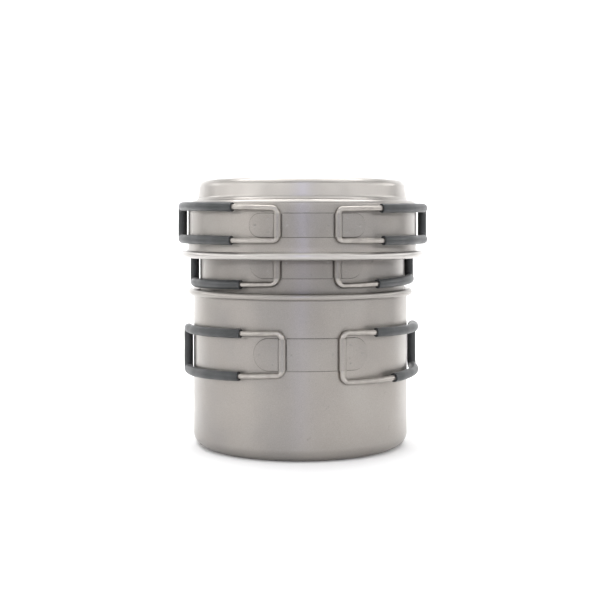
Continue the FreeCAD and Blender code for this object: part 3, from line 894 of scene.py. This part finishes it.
VIEW_TURN = math.radians(-6.0)  # the camera stands this far round to the left of the big strap
VIEW_DISTANCE = 0.678
EYE_LEVEL = 0.1304
LENS = 67.8
SENSOR = 36
# as shares of the frame's width: how far the set's axis is to one side, and the eye level above
# the frame's middle
SIDE_SHIFT = 0.0005
HORIZON_RISE = 0.1267


def toward_camera(distance, height, turn=0.0):
    """A place at a distance from the set's axis, on the camera's side or turned from there."""
    angle = VIEW_TURN + turn
    return Vector((distance * math.sin(angle), -distance * math.cos(angle), height))


def add_camera():
    data = bpy.data.cameras.new("camera")
    data.lens = LENS
    data.sensor_width = SENSOR
    data.shift_x = -SIDE_SHIFT
    data.shift_y = -HORIZON_RISE
    data.clip_start = 0.01
    camera = bpy.data.objects.new("camera", data)
    camera.location = toward_camera(VIEW_DISTANCE, EYE_LEVEL)
    camera.rotation_euler = (math.pi / 2, 0, VIEW_TURN)
    bpy.context.scene.collection.objects.link(camera)
    bpy.context.scene.camera = camera


def add_sweep():
    """A pale floor that curves up into a backdrop behind the set."""
    radius, back, height, half_width = 0.5, 1.1, 1.8, 2.4
    front, steps = 1.6, 24
    profile = [(-front, 0.0), (0.0, 0.0)]
    for k in range(steps + 1):
        angle = math.radians(90 * k / steps)
        profile.append((back + radius * math.sin(angle), radius * (1 - math.cos(angle))))
    profile.append((back + radius, height))
    vertices = [(x, y, z) for y, z in profile for x in (-half_width, half_width)]
    faces = [(2 * k, 2 * k + 1, 2 * k + 3, 2 * k + 2) for k in range(len(profile) - 1)]
    mesh = bpy.data.meshes.new("sweep")
    mesh.from_pydata(vertices, [], faces)
    mesh.polygons.foreach_set("use_smooth", [True] * len(mesh.polygons))
    mesh.materials.append(paper("pale_paper"))
    sweep = bpy.data.objects.new("sweep", mesh)
    sweep.rotation_euler = (0, 0, VIEW_TURN)
    bpy.context.scene.collection.objects.link(sweep)


def add_light(name, place, target, width, height, power, colour=(1.0, 1.0, 1.0)):
    data = bpy.data.lights.new(name, "AREA")
    data.color = colour
    data.shape = "RECTANGLE"
    data.size, data.size_y = width, height
    data.energy = power
    light = bpy.data.objects.new(name, data)
    light.location = place
    light.rotation_euler = (target - place).to_track_quat("-Z", "Y").to_euler()
    bpy.context.scene.collection.objects.link(light)


def add_lights():
    """A light tent's walls, open towards the camera; a softbox, a cool window, a backdrop lamp."""
    tent_middle = Vector((0, 0, TENT_HEIGHT / 2))
    for angle, left, right in TENT_PANELS:
        for side, way, power in (("left", -1, left), ("right", 1, right)):
            place = toward_camera(TENT_RADIUS, tent_middle.z, way * math.radians(angle))
            name = f"{side}_panel_{angle}"
            add_light(name, place, tent_middle, TENT_PANEL_WIDTH, TENT_HEIGHT, power)
    aim = Vector((0, 0, 0.08))
    above = Vector((0, 0.1, 1.2))
    add_light("top_softbox", above, aim, SOFTBOX_SIZE, SOFTBOX_SIZE, SOFTBOX_WATTS)
    place = toward_camera(WINDOW_DISTANCE, WINDOW_LEVEL)
    add_light("window", place, aim, WINDOW_WIDTH, WINDOW_HEIGHT, WINDOW_WATTS, WINDOW_BLUE)
    place, backdrop = Vector((0, 0.5, 1.5)), Vector((0, 1.4, 0.4))
    add_light("backdrop_light", place, backdrop, BACKDROP_WIDTH, BACKDROP_DEPTH, BACKDROP_WATTS)


def set_world():
    """A ring of lamps above the horizon; past the paper's edge, only plain white is seen."""
    world = bpy.data.worlds.new("studio")
    world.use_nodes = True
    nodes, links = world.node_tree.nodes, world.node_tree.links
    direction = nodes.new("ShaderNodeTexCoord").outputs["Generated"]
    split = nodes.new("ShaderNodeSeparateXYZ")
    links.new(direction, split.inputs[0])
    ring = nodes.new("ShaderNodeValToRGB")
    links.new(split.outputs["Z"], ring.inputs["Fac"])
    stops = ring.color_ramp.elements
    while len(stops) < len(LAMP_RING):
        stops.new(0.5)
    for stop, (height, radiance) in zip(stops, LAMP_RING):
        stop.position = height
        stop.color = (radiance, radiance, radiance, 1.0)
    seen = nodes.new("ShaderNodeLightPath").outputs["Is Camera Ray"]
    plain = nodes.new("ShaderNodeMix")
    plain.data_type = "RGBA"
    links.new(seen, plain.inputs[0])
    links.new(ring.outputs["Color"], plain.inputs[6])
    plain.inputs[7].default_value = grey(PLAIN_BACKGROUND)
    links.new(plain.outputs[2], nodes["Background"].inputs["Color"])
    bpy.context.scene.world = world


add_camera()
add_sweep()
add_lights()
set_world()
bpy.context.scene.view_settings.view_transform = "Standard"
